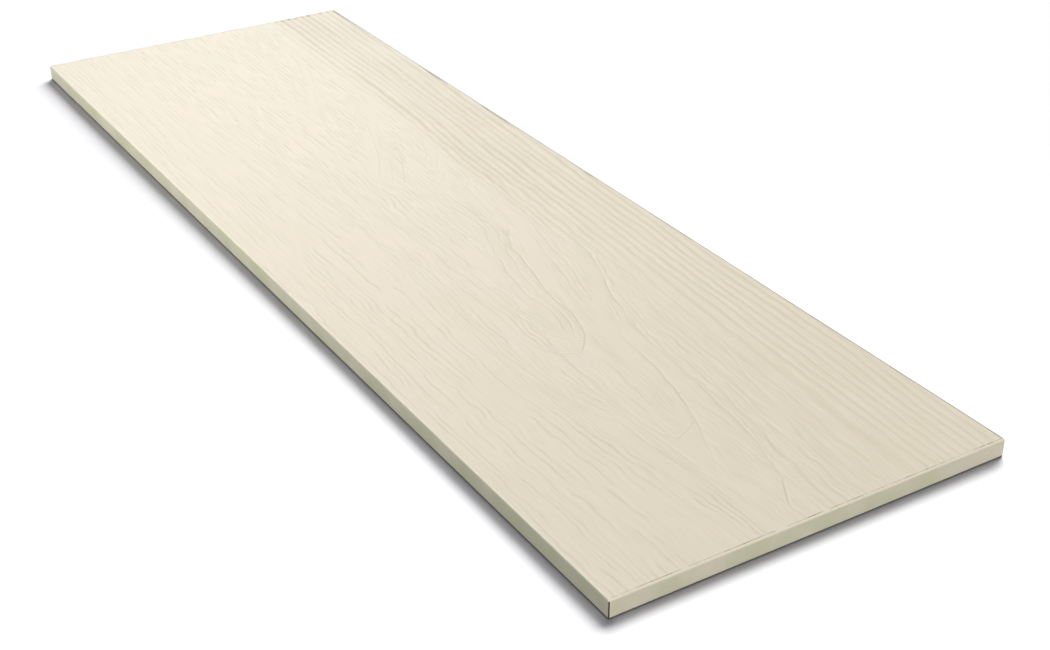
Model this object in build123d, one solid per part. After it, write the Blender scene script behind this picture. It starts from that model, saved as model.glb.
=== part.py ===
"""Fibre cement cladding board: a flat plank with an eased face and square-cut ends.

The board lies on its back with the face up.  X runs along the length, Y across
the width and Z up through the thickness.  The origin is the middle of the back.
"""

import os

from build123d import *

# Driving dimensions, in millimetres
board_length = 564.0  # end to end, cut square from longer stock
board_width = 180.0  # nominal plank width
board_thickness = 8.0  # back to the crest of the face
face_arris_radius = 0.7  # rounded edge that runs all round the face
corner_flat = 0.4  # leg of the small flat knocked off each upright corner


def plan_outline():
    """Plan of the board: a rectangle with a small flat across each corner."""
    with BuildSketch() as plan:
        Rectangle(board_length, board_width)
        chamfer(plan.vertices(), corner_flat)
    return plan.sketch


def eased_blank():
    """Rectangular blank, standing on its back, with the face edges rolled over."""
    with BuildPart() as blank:
        Box(
            board_length,
            board_width,
            board_thickness,
            align=(Align.CENTER, Align.CENTER, Align.MIN),
        )
        face_edges = blank.faces().sort_by(Axis.Z)[-1].edges()
        fillet(face_edges, face_arris_radius)
    return blank.part


def cladding_board():
    """One board: the eased blank trimmed to the plan with its corner flats."""
    with BuildPart() as board:
        add(eased_blank())
        with BuildSketch():
            add(plan_outline())
        extrude(amount=board_thickness, mode=Mode.INTERSECT)
    return board.part


os.makedirs("parts", exist_ok=True)
export_step(cladding_board(), "parts/cladding_board.step")
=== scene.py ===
"""Fibre cement cladding board, dressed: wood grain pressed into the face, coated edges, bare back."""

import logging
import math
from dataclasses import dataclass, field, replace
from enum import Enum, IntEnum

import bmesh
import bpy
import numpy as np
from mathutils import Matrix, Vector


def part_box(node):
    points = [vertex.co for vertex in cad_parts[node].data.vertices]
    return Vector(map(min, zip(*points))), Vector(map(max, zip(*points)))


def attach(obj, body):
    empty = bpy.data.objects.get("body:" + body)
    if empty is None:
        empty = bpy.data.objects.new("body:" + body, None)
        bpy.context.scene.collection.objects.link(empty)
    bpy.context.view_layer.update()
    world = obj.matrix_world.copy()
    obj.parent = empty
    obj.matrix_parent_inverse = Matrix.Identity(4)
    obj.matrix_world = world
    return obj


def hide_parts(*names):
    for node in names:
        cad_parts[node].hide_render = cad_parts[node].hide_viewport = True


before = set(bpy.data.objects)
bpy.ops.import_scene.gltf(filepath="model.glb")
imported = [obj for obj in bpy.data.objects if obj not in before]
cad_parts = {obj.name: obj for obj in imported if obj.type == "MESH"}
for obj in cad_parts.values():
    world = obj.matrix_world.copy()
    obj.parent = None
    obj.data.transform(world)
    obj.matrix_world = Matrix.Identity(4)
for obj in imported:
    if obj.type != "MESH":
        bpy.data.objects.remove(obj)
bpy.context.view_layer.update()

log = logging.getLogger("cladding_board")

MM = 0.001
BOARD_NODE = "cladding_board"

STEP_MM = 1.0  # step over which a slope is measured and a course is followed, in mm
HALF_ROW = 0.5  # farthest that a place lies from the middle of its row, in rows
HALFWAY = 0.5  # share at which one kind of row gives way to another
LATTICE = 512  # rows and steps after which the noise repeats
ROW_SPREAD = 97.31  # lattice steps over which the starts of the rows are spread
GOLDEN_PART = 0.618  # share of that spread from one row to the next, so that no two line up
COURSE_REACH = 300.0  # how far along the board a course is followed to each side, in mm
COURSE_ROUNDING = 5  # reach of the rounding at a course's bends, in mm
NOISE_MIDDLE = 0.5  # middle of a noise texture's values
SRGB_FOOT = 0.04045  # value up to which the sRGB curve is straight
SRGB_SLOPE = 12.92  # its slope there
SRGB_LIFT = 0.055  # offset of the curve past its straight foot
SRGB_POWER = 2.4  # power of the curve past its straight foot

# Colour sockets of the mix node, by number
MIX_SHARE, MIX_FIRST, MIX_SECOND, MIX_RESULT = 0, 6, 7, 2

Points = tuple[tuple[float, float], ...]
Place = tuple[float, float, float]
Colour = tuple[float, float, float, float]


class Surface(IntEnum):
    """Material slots of the board, in the order in which they are given to its mesh."""

    FACE = 0
    # Paler coat on the upper half of the left rolled edge: a painted highlight
    ARRIS = 1
    EDGE = 2
    BACK = 3
    # Dark finish on the foot band and the near left upright corner; along the foot it is painted contact
    # shade
    DARK_FOOT_AND_CORNER = 4
    # Dark mottle in the crease at each cut end: painted shade
    CREASE = 5
    # Greyer coat on the right rolled edge: painted shade
    SHADE = 6


class Mark(Enum):
    """Vertex layers of the face, which the relief fills and the coat reads."""

    DEPTH = "grain_depth"
    ROW = "fibre_row"
    ROW_SHARE = "fibre_share"
    LINE_OFFSET = "line_offset"
    LINE_SHARE = "line_share"
    FIBRE_ROW = "fine_fibre_row"
    FIBRE_SHARE = "fine_fibre_share"


class Reach(Enum):
    """What a lamp lights, by the name of its group."""

    BOARD = "lit_board"
    FLOOR = "lit_floor"


class Seed(IntEnum):
    """Seeds of the grain's noises."""

    DRIFT = 1
    SWAY = 2
    RIDGE_WEAR = 3
    SHORT_MARKS = 4
    LONG_MARKS = 5
    EDGE_MARKS = 6
    RIPPLE = 7
    ROW_WEAR = 8
    LINE_WEAR = 12


def linear(code: str) -> Colour:
    """Turn an sRGB hex colour into linear light.

    Args:
        code: Six hex digits after a hash sign.

    Returns:
        Red, green, blue and a full alpha.
    """
    parts = [int(code[i : i + 2], 16) / 255.0 for i in (1, 3, 5)]
    light = [
        p / SRGB_SLOPE if p <= SRGB_FOOT else ((p + SRGB_LIFT) / (1.0 + SRGB_LIFT)) ** SRGB_POWER
        for p in parts
    ]
    return (light[0], light[1], light[2], 1.0)


def add_node(
    tree: bpy.types.NodeTree,
    kind: str,
    settings: dict[str, object] | None = None,
    inputs: dict[str | int, object] | None = None,
) -> bpy.types.Node:
    """Add a shader node, with its settings, socket values and links.

    Args:
        tree: Node tree that takes the node.
        kind: Type name of the node.
        settings: Properties of the node by name.
        inputs: Input sockets by name or number: an output socket is linked, a value is set.

    Returns:
        The new node.
    """
    node = tree.nodes.new(kind)
    for name, value in (settings or {}).items():
        setattr(node, name, value)
    for name, value in (inputs or {}).items():
        if isinstance(value, bpy.types.NodeSocket):
            tree.links.new(value, node.inputs[name])
        else:
            node.inputs[name].default_value = value
    return node


def new_material(name: str) -> tuple[bpy.types.Material, bpy.types.NodeTree]:
    """Make an empty node material.

    Args:
        name: Name of the material.

    Returns:
        The material and its cleared node tree.
    """
    material = bpy.data.materials.new(name)
    material.use_nodes = True
    material.node_tree.nodes.clear()
    return material, material.node_tree


def ease(share: np.ndarray) -> np.ndarray:
    """Smooth step from 0 to 1 as share goes from 0 to 1."""
    held = np.clip(share, 0.0, 1.0)
    return held * held * (3.0 - 2.0 * held)


def run_noise(along: np.ndarray, row: np.ndarray, seed: int) -> np.ndarray:
    """Smooth noise along the board, with a run of its own on each whole-numbered row.

    Args:
        along: Place along the run, in lattice steps.
        row: Row numbers, whole.
        seed: Seed of the lattice.

    Returns:
        Values from -1 to 1.
    """
    lattice = np.random.default_rng(int(seed)).uniform(-1.0, 1.0, (LATTICE, LATTICE))
    line = np.broadcast_to(np.asarray(row), np.shape(along)).astype(int) % LATTICE
    shifted = along + ROW_SPREAD * (line * GOLDEN_PART % 1.0)
    cell = np.floor(shifted).astype(int)
    share = ease(shifted - cell)
    return lattice[line, cell % LATTICE] * (1.0 - share) + lattice[line, (cell + 1) % LATTICE] * share


def streak_noise(along: np.ndarray, across: np.ndarray, seed: int) -> np.ndarray:
    """Drawn-out noise whose rows lie one step apart.

    Args:
        along: Place along the streaks, in lattice steps.
        across: Place across them, in lattice steps.
        seed: Seed of the lattice.

    Returns:
        Values from -1 to 1.
    """
    row = np.floor(across)
    share = ease(across - row)
    return run_noise(along, row, seed) * (1.0 - share) + run_noise(along, row + 1, seed) * share


def course(points: Points, x: np.ndarray) -> np.ndarray:
    """Follow a grain line through listed points, rounded at its bends.

    Args:
        points: Places (x, y) on the line in mm, with x rising.
        x: Where along the board to follow it, in mm.

    Returns:
        The line's y at each x, in mm.
    """
    stations = np.arange(-COURSE_REACH, COURSE_REACH + STEP_MM, STEP_MM)
    px, py = np.array(points, float).T
    kernel = np.hanning(2 * COURSE_ROUNDING + 1)
    straight = np.pad(np.interp(stations, px, py), COURSE_ROUNDING, mode="edge")
    rounded = np.convolve(straight, kernel / kernel.sum(), mode="valid")
    return np.interp(x, stations, rounded)


@dataclass(frozen=True)
class Ramp:
    """A smooth change from one level to another.

    Attributes:
        start: Value at which it leaves the first level.
        stop: Value at which it reaches the second; it may lie below the start.
        first: Level before the start.
        second: Level past the stop.
    """

    start: float
    stop: float
    first: float = 0.0
    second: float = 1.0

    def at(self, values: np.ndarray) -> np.ndarray:
        """Level at each value."""
        share = ease((values - self.start) / (self.stop - self.start))
        return self.first + (self.second - self.first) * share


@dataclass(frozen=True)
class Run:
    """Noise that comes and goes along each row by itself.

    Attributes:
        length: Length of one swing, in mm.
        seed: Seed of the noise.
        mean: Level about which it swings.
        swing: How far it swings to each side.
    """

    length: float
    seed: Seed
    mean: float = 0.0
    swing: float = 1.0

    def at(self, x: np.ndarray, row: np.ndarray) -> np.ndarray:
        """Level at each place along each row."""
        return self.mean + self.swing * run_noise(x / self.length, row, self.seed)


@dataclass(frozen=True)
class Stray:
    """A sideways stray of the fibres, drawn out along the board.

    Attributes:
        reach: Farthest stray, in mm.
        length: Length of one swing, in mm.
        width: Distance across the board over which the stray changes, in mm.
        seed: Seed of the noise.
    """

    reach: float
    length: float
    width: float
    seed: Seed

    def at(self, x: np.ndarray, y: np.ndarray) -> np.ndarray:
        """Stray at each place, in mm."""
        return self.reach * streak_noise(x / self.length, y / self.width, self.seed)


@dataclass(frozen=True)
class GrainGuide:
    """A course that the fibres follow from end to end, and the fibre rows up to it.

    Attributes:
        rows: Fibre rows counted from the left edge.
        points: Places on the course, in mm.
    """

    rows: float
    points: Points


@dataclass(frozen=True)
class QuietBand:
    """A smooth streak of late wood, in which the short fibre marks leave off.

    Attributes:
        points: Places on its middle, in mm.
        half_width: Half its width, in mm.
        fade: Length over which each end dies away, in mm.
        flatness: Power that keeps the band even across and ends it quickly at its sides.
    """

    points: Points
    half_width: float = 3.2
    fade: float = 12.0
    flatness: int = 4

    def share(self, x: np.ndarray, y: np.ndarray) -> np.ndarray:
        """How far each place lies in the band.

        Args:
            x: Places along the board, in mm.
            y: Places across it, in mm.

        Returns:
            Shares from 0 to 1.
        """
        first, last = self.points[0][0], self.points[-1][0]
        half_fade = self.fade / 2.0
        inside = ease((x - first + half_fade) / self.fade) * ease((last + half_fade - x) / self.fade)
        middle = course(self.points, x)
        lean = np.hypot(1.0, course(self.points, x + STEP_MM) - middle)
        return inside * np.exp(-(((y - middle) / (lean * self.half_width)) ** self.flatness))


@dataclass(frozen=True)
class GrainLine:
    """One bold grain line, pressed as a rounded groove that dies away at both ends.

    Attributes:
        depth: Depth at its middle, in mm.
        points: Places on the line, in mm.
        half_width: Half the groove's width, in mm.
        fade: Length over which each end dies away, in mm.
        wear: How the line comes and goes.
    """

    depth: float
    points: Points
    half_width: float = 0.75
    fade: float = 9.0
    wear: Run = Run(13.0, Seed.LINE_WEAR, 0.75, 0.35)

    def beside(self, along: float, across: float) -> "GrainLine":
        """The same line, moved along and across the board by so many mm."""
        return replace(self, points=tuple((x + along, y + across) for x, y in self.points))

    def trace(self, x: np.ndarray, y: np.ndarray, number: int) -> tuple[np.ndarray, np.ndarray]:
        """Where each place lies from the line, and how strong the line is there.

        Args:
            x: Places along the board, in mm.
            y: Places across it, in mm.
            number: Number of the line, which picks its wear.

        Returns:
            The offset square to the line in mm, and the line's strength from 0 to about 1.
        """
        first, last = self.points[0][0], self.points[-1][0]
        middle = course(self.points, x)
        half_step = STEP_MM / 2.0
        rise = course(self.points, x + half_step) - course(self.points, x - half_step)
        ends = ease((x - first) / self.fade) * ease((last - x) / self.fade)
        return (y - middle) / np.hypot(1.0, rise), ends * self.wear.at(x, np.array(number))


# Courses of the fibres from the left edge to the right, in mm: straight along both edges,
# drawn together in the middle towards the tip of the arch near the near end
GUIDES = (
    GrainGuide(0.0, ((-290, -92), (0, -91), (290, -93))),
    GrainGuide(12.0, ((-290, -62), (0, -61.5), (100, -63), (200, -62.5), (290, -60))),
    GrainGuide(
        19.5,
        (
            (-290, -45), (-150, -44), (-100, -41), (-50, -38), (0, -36), (60, -36), (110, -40),
            (145, -42.5), (200, -37), (290, -29),
        ),
    ),
    GrainGuide(
        25.0,
        (
            (-290, -30), (-150, -30), (-60, -27), (0, -26), (50, -27), (100, -33), (140, -35.5),
            (165, -33), (195, -25), (245, -20), (290, -19),
        ),
    ),
    GrainGuide(
        32.5,
        (
            (-290, -12), (-150, -12), (-60, -11), (0, -14.5), (110, -14), (150, -17), (200, -17.5),
            (290, -14),
        ),
    ),
    GrainGuide(
        39.5,
        ((-290, 6), (-60, 5), (0, 6), (40, 7.5), (60, 2), (100, -3), (150, -8), (220, -11), (290, -10)),
    ),
    GrainGuide(
        46.5,
        (
            (-290, 24), (-60, 20), (0, 21), (35, 17), (60, 11), (98, 3), (130, 3), (190, 1), (215, -4),
            (290, -6),
        ),
    ),
    GrainGuide(
        54.0,
        (
            (-290, 42), (-150, 40), (-60, 38), (0, 36), (30, 33), (70, 23), (110, 14), (150, 12),
            (190, 8), (220, 4), (250, 0), (290, -4),
        ),
    ),
    GrainGuide(
        61.0,
        (
            (-290, 58.5), (-120, 56), (-60, 50.5), (0, 47), (72, 42.5), (90, 36.5), (110, 28),
            (133, 21.5), (160, 18.5), (230, 11), (245, 6), (290, 0),
        ),
    ),
    GrainGuide(69.0, ((-290, 77), (-180, 74), (-90, 69.5), (60, 62), (150, 56.5), (290, 49.5))),
    GrainGuide(79.0, ((-290, 101), (-180, 98), (0, 88), (100, 82), (200, 77.5), (290, 71))),
)

# The outer courses alone, which the finest fibres keep to
EVEN_GUIDES = (GUIDES[0], GUIDES[1], GUIDES[-2], GUIDES[-1])

# Smooth streaks along the arms of the nested arches, in mm
QUIET_BANDS = (
    QuietBand(((-266, -23), (-240, -9), (-222, 0), (-208, -2)), 4.0),
    QuietBand(((-206, -30), (-185, -22), (-168, -13), (-152, 0), (-145, 9)), 4.2),
    QuietBand(((-235, 33), (-200, 31), (-175, 25), (-150, 12), (-143, 5))),
    QuietBand(((-135, 36), (-112, 30), (-95, 19), (-75, 9), (-45, -2)), 3.8),
    QuietBand(((-125, -16), (-95, -12), (-75, -9), (-50, -4)), 2.6),
    QuietBand(((-70, 42), (-45, 32), (-30, 25), (-18, 17))),
    QuietBand(((8, 36), (30, 32), (50, 24), (72, 16), (95, 10))),
    QuietBand(((75, 36), (95, 32), (110, 24), (130, 10), (150, 7), (168, 4))),
    QuietBand(((205, -2), (218, -9), (236, -16)), 3.0),
    QuietBand(((40, -5), (60, -5), (76, -5.5))),
    QuietBand(((82, -27), (130, -24), (150, -24)), 2.4),
    QuietBand(((185, -32), (210, -30), (245, -27)), 2.8),
    QuietBand(((4, -26), (30, -24)), 2.6),
    QuietBand(((-2, -40), (32, -39)), 2.6),
)

# Bold lines along the arches at the near end, in mm
ARCH_LINES = (
    GrainLine(
        0.44,
        (
            (20, 46), (49, 44.5), (69, 43), (78, 40.5), (91, 36.5), (103, 31.5), (114, 27),
            (124, 25.5), (132, 21.5), (148, 19.5), (173, 18), (200, 14.5), (213, 13), (233, 10.5),
            (243, 6.5), (256, 3), (270, -5.5), (277, -7),
        ),
    ),
    GrainLine(
        0.44,
        (
            (140, 12), (156, 10.5), (169, 9.5), (184, 6.5), (200, 3), (207, 0), (212, -4), (216, -11),
            (218, -17),
        ),
        fade=1.0,
    ),
    GrainLine(
        0.38,
        ((124, -18.5), (157, -18.5), (184, -20), (196, -19), (207, -18.5), (213, -17), (217.5, -14)),
        fade=1.5,
    ),
    GrainLine(0.28, ((198, 3), (207, 0.5), (213, -2), (223, -6.5), (233, -10.5), (243, -16)), fade=3.0),
    GrainLine(0.22, ((190, 7), (214, 8.5), (231, 8.5), (246, 5))),
    GrainLine(0.20, ((222, 3), (246, 3.5), (260, 2.5))),
    GrainLine(
        0.42,
        (
            (-6, 12), (14, 14.5), (29, 14.5), (38, 10), (46, 8), (52, 5), (61, 3.5), (70, 0),
            (80, -0.5), (91, -3), (106, -1.5), (114, -2), (124, -5), (133, -7),
        ),
    ),
    GrainLine(
        0.42,
        (
            (-8, 18), (20, 18.5), (34, 18), (40, 14.5), (47, 13.5), (53, 10.5), (61, 9.5), (71, 6),
            (80, 4.5), (89, 3), (97, 0.5), (109, 2), (121, 0), (129, -3), (137, -8),
        ),
    ),
    GrainLine(
        0.42,
        (
            (-4, 22), (26, 20.5), (36, 21.5), (46, 17), (50, 14.5), (59, 14.5), (67, 12), (80, 9.5),
            (89, 6.5), (100, 5), (116, 5.5), (124, 2.5), (133, 0), (138.5, -3.5), (143.5, -7.5),
            (146, -12),
        ),
        fade=2.0,
    ),
    GrainLine(0.34, ((26, 27), (36, 22.5), (44, 18))),
    GrainLine(
        0.30,
        (
            (38, -13), (50, -14.5), (61, -13.5), (80, -13), (91, -14), (100, -13.5), (110, -11.5),
            (117, -9),
        ),
    ),
    GrainLine(
        0.30,
        (
            (-6, -20), (21, -18.5), (36, -17), (54, -18.5), (69, -17), (100, -17), (114, -15),
            (124, -14), (131, -10.5), (140, -8),
        ),
    ),
    GrainLine(
        0.28,
        ((71, -24.5), (86, -23), (103, -23), (125, -24.5), (137, -22), (142, -17), (146, -10)),
        fade=2.0,
    ),
    GrainLine(
        0.26,
        (
            (26, -28.5), (40, -29.5), (51, -27), (61, -28.5), (71, -30), (86, -33), (100, -34.5),
            (114, -33), (129, -33.5), (149, -33), (160, -31.5), (169, -26), (179, -24.5), (199, -22),
            (214, -20.5), (234, -19), (248, -16),
        ),
    ),
    GrainLine(
        0.26,
        (
            (-10, -34.5), (17, -34), (29, -31.5), (41, -33), (57, -32), (74, -33.5), (86, -36),
            (103, -36.5), (119, -36), (129, -38), (146, -36.5), (160, -36), (174, -34.5), (184, -33.5),
            (191, -28.5), (200, -26), (214, -25.5), (229, -22), (250, -18.5), (262, -18),
        ),
    ),
    GrainLine(
        0.24,
        (
            (70, -38.5), (91, -38.5), (109, -39.5), (124, -40), (137, -41.5), (157, -40.5),
            (171, -39.5), (190, -38.5), (214, -38), (243, -37), (267, -34.5), (284, -33),
        ),
    ),
    GrainLine(0.24, ((206, -22.5), (231, -22.5), (250, -21.5), (267, -21.5), (284, -23))),
    GrainLine(
        0.24,
        (
            (50, 49), (80, 46), (100, 46.5), (114, 43), (129, 37), (143, 33), (157, 32), (179, 29.5),
            (200, 25), (223, 21.5), (250, 20),
        ),
    ),
    GrainLine(
        0.24,
        (
            (145, 45.5), (164, 43.5), (179, 40.5), (193, 36.5), (207, 33.5), (229, 31.5), (257, 28),
            (280, 25),
        ),
    ),
    GrainLine(
        0.22,
        (
            (110, 37), (124, 31.5), (140, 28), (165, 25), (190, 23), (215, 17), (250, 13), (284, 12),
        ),
    ),
)

# Lines along the arms of the nested arches towards the far end, in mm
ARM_LINES = (
    GrainLine(0.21, ((-276, 41), (-255, 33.5), (-239, 27), (-222, 20))),
    GrainLine(0.21, ((-276, 34), (-261, 27), (-249, 23.5), (-232, 15))),
    GrainLine(0.23, ((-245, 35.5), (-229, 33), (-218, 33), (-208, 30.5), (-195, 26.5), (-180, 21))),
    GrainLine(0.21, ((-226, 40.5), (-213, 36.5), (-202, 35), (-190, 35.5), (-182, 33), (-170, 27))),
    GrainLine(0.25, ((-190, 25.5), (-180, 21.5), (-176, 18.5), (-160, 12))),
    GrainLine(0.23, ((-172, 10.5), (-163, 8), (-152, 3.5))),
    GrainLine(0.21, ((-158, 22.5), (-148, 19.5), (-134, 14.5))),
    GrainLine(0.25, ((-130, 34.5), (-125, 33), (-115, 25.5), (-98, 20.5), (-90, 17))),
    GrainLine(0.27, ((-102, 28), (-95, 25), (-76, 18), (-66, 14.5), (-56, 10), (-36, 0))),
    GrainLine(0.21, ((-100, 31), (-88, 25.5), (-74, 20.5), (-60, 14))),
    GrainLine(0.21, ((-82, 40), (-76, 38.5), (-62, 33), (-48, 24.5), (-30, 22))),
    GrainLine(0.23, ((-36, 36), (-30, 33), (-22, 27), (-12, 17))),
    GrainLine(0.19, ((-120, -42), (-100, -39.5), (-60, -38), (-30, -35.5), (4, -33.5))),
    GrainLine(0.19, ((-60, -24), (-30, -20), (0, -16), (30, -14))),
)

# Each line of an arm is the middle one of a sheaf, whose lines start one behind the other, in mm
SHEAF = ((-7.0, -3.4), (0.0, 0.0), (6.0, 3.4))
BOLD_LINES = ARCH_LINES + tuple(line.beside(*step) for line in ARM_LINES for step in SHEAF)


@dataclass(frozen=True)
class Zones:
    """Where each kind of grain lies, as shares from 0 to 1 at each place.

    Attributes:
        near: The half towards the near end.
        band: The ridged band along the right edge.
        fan: The part of that band which opens into a fan near the near end.
        split: The rows of the fan that are split finer.
        left: The long thin lines along the left edge.
        quiet: The smooth streaks.
    """

    near: np.ndarray
    band: np.ndarray
    fan: np.ndarray
    split: np.ndarray
    left: np.ndarray
    quiet: np.ndarray


@dataclass(frozen=True)
class GrainRelief:
    """Relief of the pressed face, as depth below its crest.

    Attributes:
        ridge_depth: Depth between the broad ridges along the right edge, in mm.
        fibre_depth: Depth of the short fibre marks, in mm.
        left_depth: Depth of the long thin lines along the left edge, in mm.
        deepest: Limit of the press, in mm.
        far_off: Offset from a bold line past which it isn't felt, in mm.
        line_press: Share of a bold line's depth that the press gives it.
        full_line: Depth at which a bold line is drawn in full, in mm.
        faintest: Strength below which a bold line isn't drawn.
        fan_split: Finer rows for each row in the fan near the near end.
        sway: Long stray of the fibres.
        ripple: Short stray of the fibres.
        drift: Slow stray of the rows of marks.
        far_calm: Share of the stray that is kept, by place along the board.
        ridge_calm: Share of the stray that is kept, by place across it.
        near_end: The near half, by place along the board.
        first_ridge: Row at which the ridged band sets in, by place along the board.
        band_rows: Rows over which it sets in.
        fan_along: The fan, by place along the board.
        fan_across: The fan, by row.
        split_along: The finer rows of the fan, by place along the board.
        split_from: Their first rows.
        split_to: Their last rows.
        seam: How the marks leave off where the finer rows begin.
        left_rows: The lines along the left edge, by row.
        room: Room for marks, by rows per mm.
        short_marks: Runs of the short marks in the far half.
        short_there: How strongly they show.
        long_marks: Runs of the longer marks in the near half.
        long_there: How strongly they show.
        odd_long: How much fainter every other one of them is.
        edge_marks: Runs of the lines along the left edge.
        edge_there: How strongly they show.
        odd_edge: How much shorter every other one of them is.
        row_wear: How the marks of a row come and go.
        groove_rows: Half the width of a mark's groove, in rows.
        fan_marks: Share of the fibre marks that the fan keeps.
        left_faint: How much fainter the lines along the left edge are drawn.
        near_bold: Share of that faintness which is taken back in the near half.
        ridge_from: Row of the first valley between ridges.
        ridge_pitch: Rows from one valley to the next.
        ridge_wear: How the valleys come and go.
        valley_power: Power that narrows the valleys.
        fan_flat: How far the fan flattens the ridges.
        near_flat: How far the near half flattens them.
        band_streaks: How much fainter the fine fibres are among the ridges.
        left_streaks: How much fainter they are along the left edge.
        split_streaks: How much stronger they are in the finer rows.
    """

    ridge_depth: float = 0.56
    fibre_depth: float = 0.08
    left_depth: float = 0.07
    deepest: float = 0.60
    far_off: float = 3.0
    line_press: float = 0.5
    full_line: float = 0.34
    faintest: float = 0.02
    fan_split: float = 1.4
    sway: Stray = Stray(0.9, 9.0, 6.0, Seed.SWAY)
    ripple: Stray = Stray(0.45, 4.2, 2.5, Seed.RIPPLE)
    drift: Stray = Stray(0.9, 45.0, 8.0, Seed.DRIFT)
    far_calm: Ramp = Ramp(-120.0, 40.0, 0.5, 1.0)
    ridge_calm: Ramp = Ramp(45.0, 60.0, 1.0, 0.45)
    near_end: Ramp = Ramp(-30.0, 80.0)
    first_ridge: Ramp = Ramp(80.0, 20.0, 61.0, 53.4)
    band_rows: float = 5.0
    fan_along: Ramp = Ramp(70.0, 120.0)
    fan_across: Ramp = Ramp(69.0, 63.0)
    split_along: Ramp = Ramp(90.0, 130.0)
    split_from: Ramp = Ramp(60.5, 62.0)
    split_to: Ramp = Ramp(70.0, 68.5)
    seam: Ramp = Ramp(0.0, 0.25)
    left_rows: Ramp = Ramp(21.0, 18.0)
    room: Ramp = Ramp(1.05, 0.65)
    short_marks: Run = Run(9.0, Seed.SHORT_MARKS)
    short_there: Ramp = Ramp(-0.5, 0.1)
    long_marks: Run = Run(24.0, Seed.LONG_MARKS)
    long_there: Ramp = Ramp(-0.6, 0.0)
    odd_long: float = 0.45
    edge_marks: Run = Run(28.0, Seed.EDGE_MARKS)
    edge_there: Ramp = Ramp(-0.4, 0.2)
    odd_edge: float = 0.25
    row_wear: Run = Run(8.0, Seed.ROW_WEAR, 0.8, 0.3)
    groove_rows: float = 0.30
    fan_marks: float = 0.8
    left_faint: float = 0.2
    near_bold: float = 0.6
    ridge_from: float = 61.0
    ridge_pitch: float = 1.85
    ridge_wear: Run = Run(35.0, Seed.RIDGE_WEAR, 0.85, 0.3)
    valley_power: float = 2.2
    fan_flat: float = 0.8
    near_flat: float = 0.4
    band_streaks: float = 0.25
    left_streaks: float = 0.4
    split_streaks: float = 0.3

    def rows(self, x: np.ndarray, y: np.ndarray, guides: tuple[GrainGuide, ...]) -> np.ndarray:
        """Count fibre rows across the face from its left edge.

        Args:
            x: Places along the board, in mm.
            y: Places across it, in mm.
            guides: Courses that the rows follow.

        Returns:
            The row count at each place.
        """
        total = np.zeros_like(x)
        courses = [course(guide.points, x) for guide in guides]
        last = len(guides) - 2
        for i, (low, high) in enumerate(zip(courses, courses[1:])):
            share = (y - low) / (high - low)
            share = np.maximum(share, 0.0) if i > 0 else share
            share = np.minimum(share, 1.0) if i < last else share
            total += (guides[i + 1].rows - guides[i].rows) * share
        return total

    def waver(self, x: np.ndarray, y: np.ndarray) -> np.ndarray:
        """How far the fibres stray across their course at each place, in mm."""
        return (self.sway.at(x, y) + self.ripple.at(x, y)) * self.far_calm.at(x) * self.ridge_calm.at(y)

    def zones(self, x: np.ndarray, y: np.ndarray, rows: np.ndarray) -> Zones:
        """Find where each kind of grain lies.

        Args:
            x: Places along the board, in mm.
            y: Places across it, in mm.
            rows: Row count at each place.

        Returns:
            The shares of each kind.
        """
        quiet = np.zeros_like(x)
        for streak in QUIET_BANDS:
            quiet = np.maximum(quiet, streak.share(x, y))
        return Zones(
            near=self.near_end.at(x),
            band=ease((rows - self.first_ridge.at(x)) / self.band_rows),
            fan=self.fan_along.at(x) * self.fan_across.at(rows),
            split=self.split_along.at(x) * self.split_from.at(rows) * self.split_to.at(rows),
            left=self.left_rows.at(rows),
            quiet=quiet,
        )

    def mark_shares(
        self, x: np.ndarray, counted: np.ndarray, room: np.ndarray, zones: Zones
    ) -> np.ndarray:
        """How strong the fibre mark on each row is.

        Args:
            x: Places along the board, in mm.
            counted: Row count at each place, finer in the fan.
            room: Room for marks at each place.
            zones: Where each kind of grain lies.

        Returns:
            Shares from 0 to about 1.
        """
        whole = np.round(counted)
        odd = whole % 2
        short_run = self.short_there.at(self.short_marks.at(x, whole))
        long_run = self.long_there.at(self.long_marks.at(x, whole))
        long_run = long_run * (1.0 - self.odd_long * odd * (1.0 - zones.fan))
        edge_run = self.edge_there.at(self.edge_marks.at(x, whole) - self.odd_edge * odd)
        there = short_run * (1.0 - zones.near) + long_run * zones.near
        there = there * (1.0 - zones.left) + edge_run * zones.left
        there = there * self.row_wear.at(x, whole) * room * self.seam.at(np.abs(zones.split - HALFWAY))
        in_band = 1.0 - zones.band * (1.0 - self.fan_marks * zones.fan)
        at_left = 1.0 - self.left_faint * zones.left * (1.0 - self.near_bold * zones.near)
        return there * (1.0 - zones.quiet) * in_band * at_left

    def ridge_depths(self, x: np.ndarray, rows: np.ndarray, zones: Zones) -> np.ndarray:
        """Depth of the valleys between the ridges.

        Args:
            x: Places along the board, in mm.
            rows: Row count at each place.
            zones: Where each kind of grain lies.

        Returns:
            Depth at each place, in mm.
        """
        past = rows - self.ridge_from
        turns = past / self.ridge_pitch
        broad, fine = np.cos(2.0 * np.pi * turns), np.cos(2.0 * np.pi * self.fan_split * past)
        swell = (1.0 - zones.fan) * broad + zones.fan * fine
        valley = ((1.0 + swell) / 2.0) ** self.valley_power
        kept = (1.0 - self.fan_flat * zones.fan) * (1.0 - self.near_flat * zones.near)
        return self.ridge_depth * zones.band * kept * self.ridge_wear.at(x, np.round(turns)) * valley

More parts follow.
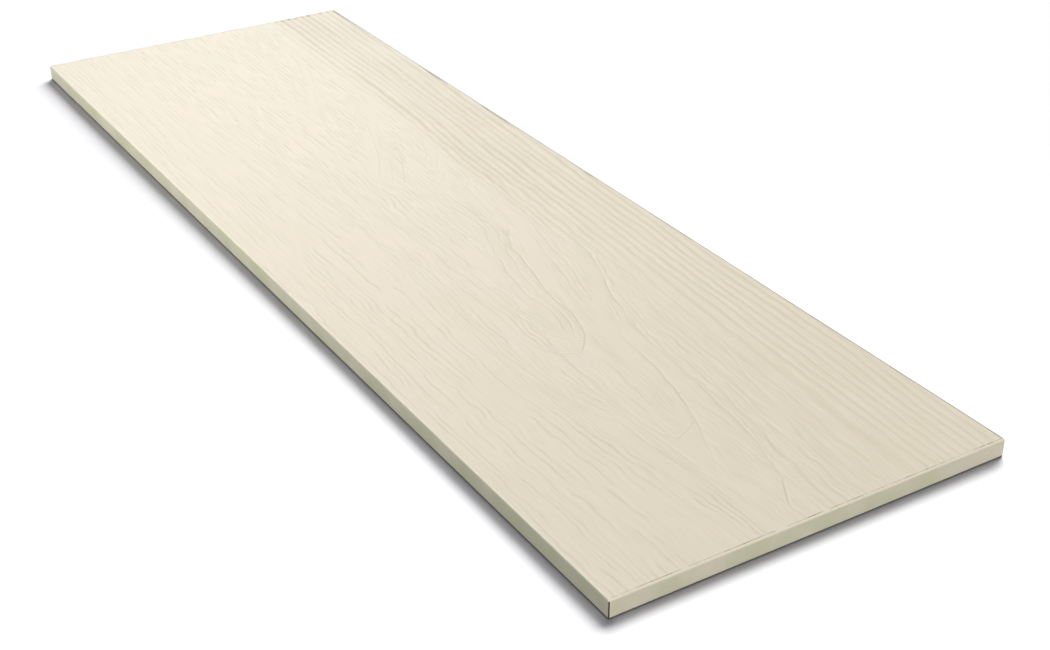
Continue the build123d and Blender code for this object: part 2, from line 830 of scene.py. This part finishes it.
    def line_marks(self, x: np.ndarray, y: np.ndarray) -> tuple[np.ndarray, np.ndarray, np.ndarray]:
        """Press the bold lines.

        Args:
            x: Places along the board, in mm.
            y: Places across it, in mm.

        Returns:
            The depth in mm, the offset from the closest line in mm, and that line's strength.
        """
        depth, strength = np.zeros_like(x), np.zeros_like(x)
        offset = np.full_like(x, self.far_off)
        for number, line in enumerate(BOLD_LINES):
            across, felt = line.trace(x, y, number)
            depth += self.line_press * line.depth * felt * np.exp(-((across / line.half_width) ** 2))
            closer = (felt > self.faintest) & (np.abs(across) < np.abs(offset))
            offset = np.where(closer, across, offset)
            strength = np.where(closer, felt * line.depth / self.full_line, strength)
        return depth, offset, strength

    def marks(self, x: np.ndarray, y: np.ndarray) -> dict[Mark, np.ndarray]:
        """Work out every layer of the face.

        Args:
            x: Places along the board, in mm.
            y: Places across it, in mm.

        Returns:
            A value at each place for each layer.
        """
        bent = y + self.waver(x, y)
        drifted = bent + self.drift.at(x, y)
        rows = self.rows(x, drifted, GUIDES)
        half_step = STEP_MM / 2.0
        crowding = self.rows(x, drifted + half_step, GUIDES) - self.rows(x, drifted - half_step, GUIDES)
        zones = self.zones(x, y, rows)
        counted = np.where(zones.split > HALFWAY, self.fan_split * rows, rows)
        share = self.mark_shares(x, counted, self.room.at(crowding), zones)
        groove = np.exp(-(((counted - np.round(counted)) / self.groove_rows) ** 2))
        press = self.fibre_depth * (1.0 - zones.left) + self.left_depth * zones.left
        # The bold lines stray half as far as the fibres do
        line_depth, offset, strength = self.line_marks(x, (y + bent) / 2.0)
        depth = press * share * groove + self.ridge_depths(x, rows, zones) + line_depth
        fine = (1.0 - zones.quiet) * (1.0 - self.band_streaks * zones.band * (1.0 - zones.fan))
        fine = fine * (1.0 - self.left_streaks * zones.left) * (1.0 + self.split_streaks * zones.split)
        return {
            Mark.DEPTH: np.clip(depth, 0.0, self.deepest),
            Mark.ROW: counted,
            Mark.ROW_SHARE: share,
            Mark.LINE_OFFSET: offset,
            Mark.LINE_SHARE: strength,
            Mark.FIBRE_ROW: self.rows(x, bent, EVEN_GUIDES),
            Mark.FIBRE_SHARE: fine,
        }


def reckon(
    tree: bpy.types.NodeTree,
    operation: str,
    first: bpy.types.NodeSocket,
    second: bpy.types.NodeSocket | float = 0.0,
    clamp: bool = False,
) -> bpy.types.NodeSocket:
    """Reckon with one or two values.

    Args:
        tree: Node tree that takes the node.
        operation: What is done with the values.
        first: Socket that gives the first value.
        second: Second value, or the socket that gives it.
        clamp: Whether the result is held between 0 and 1.

    Returns:
        The socket of the result.
    """
    settings = {"operation": operation, "use_clamp": clamp}
    return add_node(tree, "ShaderNodeMath", settings, {0: first, 1: second}).outputs[0]


def blend(
    tree: bpy.types.NodeTree,
    share: bpy.types.NodeSocket,
    first: bpy.types.NodeSocket | Colour,
    second: Colour,
) -> bpy.types.NodeSocket:
    """Mix two colours.

    Args:
        tree: Node tree that takes the node.
        share: Socket that gives the share of the second colour.
        first: First colour, or the socket that gives it.
        second: Second colour.

    Returns:
        The socket of the mixed colour.
    """
    mix = add_node(
        tree,
        "ShaderNodeMix",
        {"data_type": "RGBA"},
        {MIX_SHARE: share, MIX_FIRST: first, MIX_SECOND: second},
    )
    return mix.outputs[MIX_RESULT]


def felt_share(
    tree: bpy.types.NodeTree,
    away: bpy.types.NodeSocket,
    reach: float,
    share: bpy.types.NodeSocket,
) -> bpy.types.NodeSocket:
    """How much of a mark is felt at each place.

    Args:
        tree: Node tree of the coat.
        away: Distance from the middle of the mark.
        reach: Distance at which it isn't felt any more.
        share: How strong the mark is.

    Returns:
        The share that is felt.
    """
    close = add_node(
        tree,
        "ShaderNodeMapRange",
        {"interpolation_type": "SMOOTHSTEP"},
        {"Value": away, "From Max": reach, "To Min": 1.0, "To Max": 0.0},
    )
    return reckon(tree, "MULTIPLY", close.outputs[0], share)


@dataclass(frozen=True)
class FaceCoat:
    """Factory acrylic coat, sprayed on the pressed face.

    The coat is a warm cream with a satin sheen.  Painted shade darkens it in the deeper relief
    and in the sharp middle of each grain mark, which shows as a fine darker line, and a painted highlight
    lightens both sides of a mark.

    Attributes:
        name: Name of the material.
        cream: Main colour.
        blush: Colour of the warmer clouds in the coat.
        hollow_shade: Colour of the painted shade at the bottom of the deepest relief.
        mark: Colour of the painted shade in the sharp middle of a grain mark.
        lip: Colour of the painted highlight on both sides of a mark.
        roughness: Roughness of the satin coat.
        ior: Index of refraction of acrylic.
        cloud_mm: Size of the clouds, in mm.
        cloud_span: Noise to each side of its middle over which the clouds change colour.
        deepest_mm: Depth that shows the painted hollow shade in full, in mm.
        line_mm: Half the width of a bold line's sharp middle, in mm.
        line_lip_mm: Reach of its lips from the middle, in mm.
        row_share: Half the width of a fibre mark's sharp middle, as a share of a row.
        row_lip_share: Reach of its lips from the middle, as a share of a row.
        mark_relief_mm: Depth of the sharp middle of a mark, in mm.
        fibre_mm: Length of the fine streaks of painted highlight and shade between the marks, in mm.
        fibre_rows: Width of those streaks, in rows.
        fibre_span: Noise to each side of its middle at which a streak is full.
        fibre_tone: How far a streak takes on the colour of a mark.
    """

    name: str = "sprayed_satin_acrylic_coat_on_pressed_fibre_cement"
    cream: str = "#D4CBB5"
    blush: str = "#D7CBB8"
    hollow_shade: str = "#C9C0A6"
    mark: str = "#C8BEA7"
    lip: str = "#DCD4C0"
    roughness: float = 0.42
    ior: float = 1.5
    cloud_mm: float = 45.0
    cloud_span: float = 0.15
    deepest_mm: float = 0.6
    line_mm: float = 0.85
    line_lip_mm: float = 1.5
    row_share: float = 0.36
    row_lip_share: float = 0.5
    mark_relief_mm: float = 0.035
    fibre_mm: float = 22.0
    fibre_rows: float = 0.42
    fibre_span: float = 0.25
    fibre_tone: float = 0.5

    def material(self) -> bpy.types.Material:
        """Make the material.

        Returns:
            The coat's material.
        """
        material, tree = new_material(self.name)
        place = add_node(tree, "ShaderNodeTexCoord").outputs["Object"]
        layers = {
            mark: add_node(
                tree, "ShaderNodeAttribute", {"attribute_type": "GEOMETRY", "attribute_name": mark.value}
            ).outputs["Fac"]
            for mark in Mark
        }
        tones = self.streaked(tree, place, layers, self.clouded_and_shaded(tree, place, layers))
        to_row = reckon(tree, "PINGPONG", layers[Mark.ROW], HALF_ROW)
        to_line = reckon(tree, "ABSOLUTE", layers[Mark.LINE_OFFSET])
        # Painted highlight on both sides of each mark, then painted shade in its sharp middle
        for row_reach, line_reach, tone in (
            (self.row_lip_share, self.line_lip_mm, self.lip),
            (self.row_share, self.line_mm, self.mark),
        ):
            on_row = felt_share(tree, to_row, row_reach, layers[Mark.ROW_SHARE])
            on_line = felt_share(tree, to_line, line_reach, layers[Mark.LINE_SHARE])
            marked = reckon(tree, "MAXIMUM", on_row, on_line, clamp=True)
            tones = blend(tree, marked, tones, linear(tone))
        bump = add_node(
            tree,
            "ShaderNodeBump",
            {"invert": True},
            {"Height": marked, "Strength": 1.0, "Distance": self.mark_relief_mm * MM},
        )
        shader = add_node(
            tree,
            "ShaderNodeBsdfPrincipled",
            {},
            {
                "Base Color": tones,
                "Roughness": self.roughness,
                "IOR": self.ior,
                "Normal": bump.outputs[0],
            },
        )
        add_node(tree, "ShaderNodeOutputMaterial", {}, {"Surface": shader.outputs[0]})
        return material

    def clouded_and_shaded(
        self,
        tree: bpy.types.NodeTree,
        place: bpy.types.NodeSocket,
        layers: dict[Mark, bpy.types.NodeSocket],
    ) -> bpy.types.NodeSocket:
        """Cloud the coat and paint shade into the relief.

        Args:
            tree: Node tree of the coat.
            place: Place on the board, in metres.
            layers: Vertex layers of the face.

        Returns:
            The colour of the coat before its marks.
        """
        clouds = add_node(
            tree,
            "ShaderNodeTexNoise",
            {},
            {"Vector": place, "Scale": 1.0 / (self.cloud_mm * MM), "Detail": 2.0},
        )
        warmth = add_node(
            tree,
            "ShaderNodeMapRange",
            {},
            {
                "Value": clouds.outputs["Fac"],
                "From Min": NOISE_MIDDLE - self.cloud_span,
                "From Max": NOISE_MIDDLE + self.cloud_span,
            },
        )
        coat = blend(tree, warmth.outputs[0], linear(self.cream), linear(self.blush))
        # Painted shade: the coat darkens towards the hollow shade colour as the relief deepens
        sunk = add_node(
            tree, "ShaderNodeMapRange", {}, {"Value": layers[Mark.DEPTH], "From Max": self.deepest_mm}
        )
        return blend(tree, sunk.outputs[0], coat, linear(self.hollow_shade))

    def streaked(
        self,
        tree: bpy.types.NodeTree,
        place: bpy.types.NodeSocket,
        layers: dict[Mark, bpy.types.NodeSocket],
        tones: bpy.types.NodeSocket,
    ) -> bpy.types.NodeSocket:
        """Streak the coat with fine fibres of painted highlight and shade that run along the rows.

        Args:
            tree: Node tree of the coat.
            place: Place on the board, in metres.
            layers: Vertex layers of the face.
            tones: Colour of the coat so far.

        Returns:
            The streaked colour.
        """
        parts = add_node(tree, "ShaderNodeSeparateXYZ", {}, {0: place})
        along = reckon(tree, "DIVIDE", parts.outputs["X"], self.fibre_mm * MM)
        across = reckon(tree, "DIVIDE", layers[Mark.FIBRE_ROW], self.fibre_rows)
        laid = add_node(tree, "ShaderNodeCombineXYZ", {}, {0: along, 1: across})
        fibres = add_node(
            tree, "ShaderNodeTexNoise", {}, {"Vector": laid.outputs[0], "Scale": 1.0, "Detail": 1.0}
        )
        # Painted highlight on one side of the fibre noise and painted shade on the other
        for side, tone in ((-self.fibre_span, self.lip), (self.fibre_span, self.mark)):
            streak = add_node(
                tree,
                "ShaderNodeMapRange",
                {},
                {
                    "Value": fibres.outputs["Fac"],
                    "From Min": NOISE_MIDDLE,
                    "From Max": NOISE_MIDDLE + side,
                    "To Max": self.fibre_tone,
                },
            )
            strong = reckon(tree, "MULTIPLY", streak.outputs[0], layers[Mark.FIBRE_SHARE])
            tones = blend(tree, strong, tones, linear(tone))
        return tones


@dataclass(frozen=True)
class PlainFinish:
    """A plain mottled finish of an edge, a back or a bare corner.

    Attributes:
        name: Name of the material, for what it is and how its surface was made.
        light: Paler colour of the mottle.
        dark: Darker colour of the mottle.
        roughness: Roughness of the surface.
        grit_mm: Size of the mottle, in mm.
        relief_mm: Height of its tooth, in mm.
        mottle_span: Noise to each side of its middle over which the mottle changes colour.
    """

    name: str
    light: str
    dark: str
    roughness: float
    grit_mm: float
    relief_mm: float
    mottle_span: float = 0.12

    def material(self) -> bpy.types.Material:
        """Make the material.

        Returns:
            The finish's material.
        """
        material, tree = new_material(self.name)
        place = add_node(tree, "ShaderNodeTexCoord")
        grit = add_node(
            tree,
            "ShaderNodeTexNoise",
            {},
            {"Vector": place.outputs["Object"], "Scale": 1.0 / (self.grit_mm * MM), "Detail": 4.0},
        )
        mottle = add_node(
            tree,
            "ShaderNodeMapRange",
            {},
            {
                "Value": grit.outputs["Fac"],
                "From Min": NOISE_MIDDLE - self.mottle_span,
                "From Max": NOISE_MIDDLE + self.mottle_span,
            },
        )
        colour = blend(tree, mottle.outputs[0], linear(self.dark), linear(self.light))
        bump = add_node(
            tree,
            "ShaderNodeBump",
            {},
            {"Height": grit.outputs["Fac"], "Strength": 1.0, "Distance": self.relief_mm * MM},
        )
        shader = add_node(
            tree,
            "ShaderNodeBsdfPrincipled",
            {},
            {"Base Color": colour, "Roughness": self.roughness, "Normal": bump.outputs[0]},
        )
        add_node(tree, "ShaderNodeOutputMaterial", {}, {"Surface": shader.outputs[0]})
        return material


# The same coat on the upper half of the left rolled edge, paler as a painted highlight, with a smoother
# shine
ARRIS_HIGHLIGHT_COAT = PlainFinish(
    "painted_highlight_on_left_rolled_edge", "#E4DBC9", "#DAD0BE", 0.35, 6.0, 0.01
)
# The same coat, thinner over sawn edges: greyer and flatter than on the face
EDGE_COAT = PlainFinish("thin_acrylic_coat_on_sawn_edge", "#D0C9B4", "#C4C2A6", 0.55, 18.0, 0.03)
# Felt side of the sheet as it left the press: pale grey, matt, with a fine tooth
BARE_BACK = PlainFinish("bare_fibre_cement_felt_side", "#B9B5A8", "#A7A396", 0.85, 1.2, 0.06)
# Dark matt finish: painted contact shade on a band along the foot and under the back's edge, and a dark
# flat on the near left upright corner
DARK_FINISH_AT_FOOT_AND_CORNER = PlainFinish("painted_foot_shade_and_dark_corner", "#4A442F", "#3A3524", 0.9, 0.6, 0.02)
# The coat in the crease between the face and a cut end, mottled with painted shade that is dark in places
CREASE_SHADE_COAT = PlainFinish("painted_shade_in_crease_at_cut_end", "#D3CCB4", "#857B64", 0.55, 7.0, 0.02)
# Painted shade on the right rolled edge: the coat greyer and darker there
SHADE_COAT = PlainFinish("painted_shade_on_right_rolled_edge", "#B0A997", "#9E9785", 0.55, 9.0, 0.02)


@dataclass(frozen=True)
class RingStep:
    """One step of the board's outline, from the face to the back.

    Attributes:
        inset: How far the outline lies inside the plan, in metres.
        height: Height of the outline, in metres.
        left: Finish of the strip up to it on the left side.
        right: Finish of the strip up to it on the right side.
        end: Finish of the strip up to it on the cut ends.
        smooth: Whether the strip is shaded as round.
    """

    inset: float
    height: float
    left: Surface
    right: Surface
    end: Surface
    smooth: bool = False


@dataclass
class CladdingBoard:
    """The board: a pressed face, rolled edges, straight sides and a flat back.

    Attributes:
        low: Lowest corner of the board in the frame, in metres.
        high: Highest corner of the board in the frame, in metres.
        arris_radius: Radius of the rolled edge round the face, in metres.
        rim: Width of the plain run-up between the grain and the rolled edge, in metres.
        corner_flat: Leg of the flat on each upright corner, in metres.
        back_flat: Leg of the small flat that takes the sharpness off the back's edge, in metres.
        foot_shade_height: Height above that flat of the dark band of painted contact shade along the
            foot, in metres.
        slack: How far inside the outline a vertex still counts as on it, in metres.
        columns: Cells of the face along the board.
        rows: Cells of the face across it.
        arris_steps: Cells round the rolled edge.
        relief: The grain of the face.
        face_coat: Finish of the face.
    """

    low: Vector
    high: Vector
    arris_radius: float = 0.7 * MM
    rim: float = 0.4 * MM
    corner_flat: float = 0.4 * MM
    back_flat: float = 0.3 * MM
    foot_shade_height: float = 0.4 * MM
    slack: float = 0.01 * MM
    columns: int = 298
    rows: int = 296
    arris_steps: int = 4
    relief: GrainRelief = field(default_factory=GrainRelief)
    face_coat: FaceCoat = field(default_factory=FaceCoat)

    def build(self) -> bpy.types.Object:
        """Model the board as one closed mesh.

        Returns:
            The board's object, at the origin.
        """
        mesh_maker = bmesh.new()
        for mark in Mark:
            mesh_maker.verts.layers.float.new(mark.value)
        # Each new layer moves those made before it, so they are looked up once all are there
        layers = {mark: mesh_maker.verts.layers.float[mark.value] for mark in Mark}
        self.lay_face(mesh_maker, layers)
        corners = self.roll_edges(mesh_maker, layers)
        self.flatten_corners(mesh_maker, corners)
        bmesh.ops.recalc_face_normals(mesh_maker, faces=mesh_maker.faces[:])
        mesh = bpy.data.meshes.new("grained_board")
        mesh_maker.to_mesh(mesh)
        mesh_maker.free()
        board = bpy.data.objects.new("grained_board", mesh)
        bpy.context.collection.objects.link(board)
        return board

    def half(self, inset: float) -> tuple[float, float]:
        """Half the length and width of the plan, drawn in by an inset in metres."""
        size = self.high - self.low
        return size.x / 2.0 - inset, size.y / 2.0 - inset

    def lay_face(
        self, mesh_maker: bmesh.types.BMesh, layers: dict[Mark, bmesh.types.BMLayerItem]
    ) -> None:
        """Lay the pressed field of the face as a fine grid and sink its grain.

        Args:
            mesh_maker: The mesh being made.
            layers: Vertex layers that keep the marks of the grain.
        """
        half_x, half_y = self.half(self.arris_radius + self.rim)
        bmesh.ops.create_grid(
            mesh_maker,
            x_segments=self.columns,
            y_segments=self.rows,
            size=1.0,
            matrix=Matrix.Diagonal((half_x, half_y, 1.0, 1.0)),
        )
        places = np.array([vert.co[:2] for vert in mesh_maker.verts]) / MM
        marks = self.relief.marks(places[:, 0], places[:, 1])
        for mark, layer in layers.items():
            for vert, value in zip(mesh_maker.verts, marks[mark]):
                vert[layer] = value
        for vert, depth in zip(mesh_maker.verts, marks[Mark.DEPTH]):
            vert.co.z = self.high.z - depth * MM
        for face in mesh_maker.faces:
            face.smooth = True
            face.material_index = Surface.FACE

    def ring_steps(self) -> list[RingStep]:
        """Step the outline from the face to the back.

        Returns:
            The steps, in that order.
        """
        radius = self.arris_radius
        steps = []
        for i in range(self.arris_steps + 1):
            turn = math.pi / 2.0 * i / self.arris_steps
            inset = radius * (1.0 - math.sin(turn))
            height = self.high.z - radius * (1.0 - math.cos(turn))
            # The upper half of the left rolled edge takes a painted highlight, the right rolled edge
            # painted shade, and the crease at each cut end painted shade
            lip = Surface.ARRIS if i <= self.arris_steps / 2 else Surface.EDGE
            left, end = (lip, Surface.FACE) if i else (Surface.FACE, Surface.CREASE)
            steps.append(RingStep(inset, height, left, Surface.SHADE, end, smooth=True))
        foot = self.low.z + self.back_flat
        steps.append(RingStep(0.0, foot + self.foot_shade_height, Surface.EDGE, Surface.EDGE, Surface.EDGE))
        # A band along the foot and the back's flat take the dark finish: painted contact shade where the
        # board meets the floor
        steps.append(RingStep(0.0, foot, Surface.DARK_FOOT_AND_CORNER, Surface.DARK_FOOT_AND_CORNER, Surface.DARK_FOOT_AND_CORNER))
        steps.append(RingStep(self.back_flat, self.low.z, Surface.DARK_FOOT_AND_CORNER, Surface.DARK_FOOT_AND_CORNER, Surface.DARK_FOOT_AND_CORNER))
        return steps

    def roll_edges(
        self, mesh_maker: bmesh.types.BMesh, layers: dict[Mark, bmesh.types.BMLayerItem]
    ) -> list[bmesh.types.BMVert]:
        """Carry the outline over the rolled edge, down the sides and across the back.

        Args:
            mesh_maker: The mesh being made.
            layers: Vertex layers that keep the marks of the grain, which die away at the edge.

        Returns:
            The vertices of the upright corners, from the face to the back.
        """
        corners = []
        outline = [edge for edge in mesh_maker.edges if edge.is_boundary]
        last_inset = self.arris_radius + self.rim
        for step in self.ring_steps():
            grown = bmesh.ops.extrude_edge_only(mesh_maker, edges=outline)["geom"]
            near_x, near_y = (size - self.slack for size in self.half(last_inset))
            half_x, half_y = self.half(step.inset)
            for vert in (item for item in grown if isinstance(item, bmesh.types.BMVert)):
                at_end, at_side = abs(vert.co.x) > near_x, abs(vert.co.y) > near_y
                vert.co.x = math.copysign(half_x, vert.co.x) if at_end else vert.co.x
                vert.co.y = math.copysign(half_y, vert.co.y) if at_side else vert.co.y
                vert.co.z = step.height
                for mark in (Mark.DEPTH, Mark.ROW_SHARE, Mark.LINE_SHARE):
                    vert[layers[mark]] = 0.0
                if at_end and at_side:
                    corners.append(vert)
            for face in (item for item in grown if isinstance(item, bmesh.types.BMFace)):
                middle = face.calc_center_median()
                long_side = step.right if middle.y > 0.0 else step.left
                face.smooth = step.smooth
                face.material_index = step.end if abs(middle.x) > near_x else long_side
            edges = [item for item in grown if isinstance(item, bmesh.types.BMEdge)]
            outline = [edge for edge in edges if edge.is_boundary]
            last_inset = step.inset
        for edge in outline:
            edge.smooth = False
        back = bmesh.ops.contextual_create(mesh_maker, geom=outline)["faces"]
        for face in back:
            face.material_index = Surface.BACK
        return corners

    def flatten_corners(self, mesh_maker: bmesh.types.BMesh, corners: list[bmesh.types.BMVert]) -> None:
        """Knock the small flat off each upright corner; the near left one takes the dark finish.

        Args:
            mesh_maker: The mesh being made.
            corners: Vertices of the upright corners.
        """
        kept = set(corners)
        uprights = [edge for edge in mesh_maker.edges if kept.issuperset(edge.verts)]
        flats = bmesh.ops.bevel(
            mesh_maker,
            geom=uprights,
            offset=self.corner_flat,
            offset_type="OFFSET",
            affect="EDGES",
            segments=1,
            profile=0.5,
            material=-1,
            clamp_overlap=True,
        )["faces"]
        for face in flats:
            middle = face.calc_center_median()
            rolled = middle.z > self.high.z - self.arris_radius
            near_left = middle.x > 0.0 and middle.y < 0.0
            face.material_index = Surface.FACE if rolled else Surface.DARK_FOOT_AND_CORNER if near_left else Surface.EDGE
            face.smooth = False

    def dress(self, board: bpy.types.Object) -> None:
        """Give the board its finishes and join it to the frame.

        Args:
            board: The board's object.
        """
        finishes = {
            Surface.FACE: self.face_coat,
            Surface.ARRIS: ARRIS_HIGHLIGHT_COAT,
            Surface.EDGE: EDGE_COAT,
            Surface.BACK: BARE_BACK,
            Surface.DARK_FOOT_AND_CORNER: DARK_FINISH_AT_FOOT_AND_CORNER,
            Surface.CREASE: CREASE_SHADE_COAT,
            Surface.SHADE: SHADE_COAT,
        }
        for surface in Surface:
            board.data.materials.append(finishes[surface].material())
        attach(board, "root")
        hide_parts(BOARD_NODE)


@dataclass(frozen=True)
class SunLamp:
    """A wide, even lamp, far off.

    Attributes:
        name: Name of the lamp.
        reach: What it lights.
        azimuth: Where it stands, in degrees from +X towards +Y.
        height: How high it stands, in degrees above the floor.
        level: Light on a surface that faces it; 1 shows a white surface as white.
        spread: Width of the lamp as the board sees it, in degrees.
        colour: Colour of its light.
    """

    name: str
    reach: Reach
    azimuth: float
    height: float
    level: float
    spread: float
    colour: str = "#FFFFFF"

    def hang(self) -> bpy.types.Object:
        """Hang the lamp, turned to the board.

        Returns:
            The object that holds the lamp.
        """
        lamp = bpy.data.lights.new(self.name, "SUN")
        lamp.energy = self.level * math.pi
        lamp.color = linear(self.colour)[:3]
        lamp.angle = math.radians(self.spread)
        flat, up = math.radians(self.azimuth), math.radians(self.height)
        towards = Vector((math.cos(flat) * math.cos(up), math.sin(flat) * math.cos(up), math.sin(up)))
        holder = bpy.data.objects.new(self.name, lamp)
        holder.rotation_euler = towards.to_track_quat("Z", "Y").to_euler()
        return holder


@dataclass(frozen=True)
class Softbox:
    """A flat lamp close by, whose light falls off along the board.

    Attributes:
        name: Name of the lamp.
        reach: What it lights.
        place: Where its middle stands, in metres.
        aim: What it faces, in metres.
        width: Its width, in metres.
        height: Its height, in metres.
        cone: How wide its light opens, in degrees.
        level: Light at the aim on a surface that faces it; 1 shows a white surface as white.
    """

    name: str
    reach: Reach
    place: Place
    aim: Place
    width: float
    height: float
    cone: float
    level: float

    def hang(self) -> bpy.types.Object:
        """Hang the lamp, turned to its aim.

        Returns:
            The object that holds the lamp.
        """
        line = Vector(self.aim) - Vector(self.place)
        lamp = bpy.data.lights.new(self.name, "AREA")
        lamp.shape = "RECTANGLE"
        lamp.size, lamp.size_y = self.width, self.height
        lamp.spread = math.radians(self.cone)
        opening = math.tan(lamp.spread / 2.0)
        gathered = opening / (opening - lamp.spread / 2.0)
        lamp.energy = self.level * math.pi**2 * line.length_squared / gathered
        holder = bpy.data.objects.new(self.name, lamp)
        holder.location = self.place
        holder.rotation_euler = line.to_track_quat("-Z", "Y").to_euler()
        holder.visible_camera = False
        holder.visible_glossy = False
        return holder


@dataclass(frozen=True)
class Studio:
    """White floor, soft light and the camera.

    Attributes:
        floor_size: Side of the floor, in metres.
        floor_colour: Colour of the floor.
        floor_lift: Light added to the floor where the camera sees it.
        lift_colour: Colour of that light, which tints the shadow.
        world_level: Light from all round.
        surround_colour: Colour of the surround.
        camera_place: Where the camera stands, in metres.
        camera_aim: What the camera looks at, in metres.
        lens: Focal length of the camera, in mm.
        sensor: Width of its sensor, in mm.
        lamps: The lamps.
    """

    floor_size: float = 12.0
    floor_colour: str = "#E6E6E6"
    floor_lift: float = 0.06
    lift_colour: str = "#9C9CE0"
    world_level: float = 0.16
    surround_colour: str = "#FFFFFF"
    camera_place: Place = (0.6370, -0.3436, 0.3607)
    camera_aim: Place = (0.1140, -0.0175, 0.008)
    lens: float = 58.21
    sensor: float = 36.0
    lamps: tuple[SunLamp | Softbox, ...] = (
        SunLamp("floor_key", Reach.FLOOR, 127.5, 40.2, 1.69, 40.0),
        Softbox("floor_softbox", Reach.FLOOR, (0.0, 0.09, 0.42), (0.29, -0.10, 0.0), 0.3, 0.3, 80.0, 0.6),
        SunLamp("top_light", Reach.BOARD, 180.0, 74.0, 0.645, 60.0),
        SunLamp("far_sheen", Reach.BOARD, 156.0, 16.0, 0.115, 25.0),
        SunLamp("front_fill", Reach.BOARD, 8.0, 11.0, 0.77, 40.0),
        SunLamp("left_fill", Reach.BOARD, 270.0, 8.0, 0.215, 30.0, "#E6F3F3"),
        Softbox(
            "left_softbox", Reach.BOARD, (-0.18, -0.66, 0.14), (-0.13, -0.09, 0.0), 0.3, 0.16, 80.0, 0.74
        ),
    )

    def build(self, board: bpy.types.Object) -> None:
        """Set up the floor, the lights, the world and the camera.

        Args:
            board: The board, which has lamps of its own.
        """
        groups = {reach: bpy.data.collections.new(reach.value) for reach in Reach}
        groups[Reach.BOARD].objects.link(board)
        groups[Reach.FLOOR].objects.link(self.lay_floor())
        for lamp in self.lamps:
            holder = lamp.hang()
            bpy.context.collection.objects.link(holder)
            holder.light_linking.receiver_collection = groups[lamp.reach]
        self.light_world()
        self.place_camera()
        bpy.context.scene.view_settings.view_transform = "Standard"

    def lay_floor(self) -> bpy.types.Object:
        """Lay a white floor that keeps the board's shadow.

        Returns:
            The floor's object.
        """
        mesh_maker = bmesh.new()
        bmesh.ops.create_grid(mesh_maker, x_segments=1, y_segments=1, size=self.floor_size / 2.0)
        mesh = bpy.data.meshes.new("studio_floor")
        mesh_maker.to_mesh(mesh)
        mesh_maker.free()
        floor = bpy.data.objects.new("studio_floor", mesh)
        bpy.context.collection.objects.link(floor)
        # Matt white paint: no sheen, so that only the shadow shows on it
        material, tree = new_material("matt_white_floor_paint")
        path = add_node(tree, "ShaderNodeLightPath")
        matt = add_node(tree, "ShaderNodeBsdfDiffuse", {}, {"Color": linear(self.floor_colour)})
        lift = reckon(tree, "MULTIPLY", path.outputs["Is Camera Ray"], self.floor_lift)
        glow = add_node(
            tree,
            "ShaderNodeEmission",
            {},
            {"Color": linear(self.lift_colour), "Strength": lift},
        )
        both = add_node(tree, "ShaderNodeAddShader", {}, {0: matt.outputs[0], 1: glow.outputs[0]})
        add_node(tree, "ShaderNodeOutputMaterial", {}, {"Surface": both.outputs[0]})
        mesh.materials.append(material)
        floor.visible_diffuse = False
        return floor

    def light_world(self) -> None:
        """Light the board evenly from all round, with a white surround in view and in reflections."""
        world = bpy.data.worlds.new("white_studio")
        world.use_nodes = True
        tree = world.node_tree
        tree.nodes.clear()
        path = add_node(tree, "ShaderNodeLightPath")
        seen = reckon(tree, "MAXIMUM", path.outputs["Is Camera Ray"], path.outputs["Is Glossy Ray"])
        seen_through = reckon(tree, "MAXIMUM", seen, path.outputs["Is Transmission Ray"])
        level = add_node(
            tree,
            "ShaderNodeMapRange",
            {},
            {"Value": seen_through, "To Min": self.world_level, "To Max": 1.0},
        )
        white = add_node(
            tree,
            "ShaderNodeBackground",
            {},
            {"Color": linear(self.surround_colour), "Strength": level.outputs[0]},
        )
        add_node(tree, "ShaderNodeOutputWorld", {}, {"Surface": white.outputs[0]})
        bpy.context.scene.world = world

    def place_camera(self) -> None:
        """Place the camera as the photograph has it."""
        lens = bpy.data.cameras.new("camera")
        lens.sensor_fit = "HORIZONTAL"
        lens.sensor_width = self.sensor
        lens.lens = self.lens
        camera = bpy.data.objects.new("camera", lens)
        camera.location = self.camera_place
        line = Vector(self.camera_aim) - Vector(self.camera_place)
        camera.rotation_euler = line.to_track_quat("-Z", "Y").to_euler()
        bpy.context.collection.objects.link(camera)
        bpy.context.scene.camera = camera


def main() -> None:
    """Build the board and its studio."""
    logging.basicConfig(level=logging.INFO, format="%(name)s: %(message)s")
    low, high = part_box(BOARD_NODE)
    maker = CladdingBoard(low, high)
    board = maker.build()
    maker.dress(board)
    log.info("%s: %d vertices, %d faces", board.name, len(board.data.vertices), len(board.data.polygons))
    Studio().build(board)
    log.info("studio: floor, lamps, world and camera")


if __name__ == "__main__":
    main()
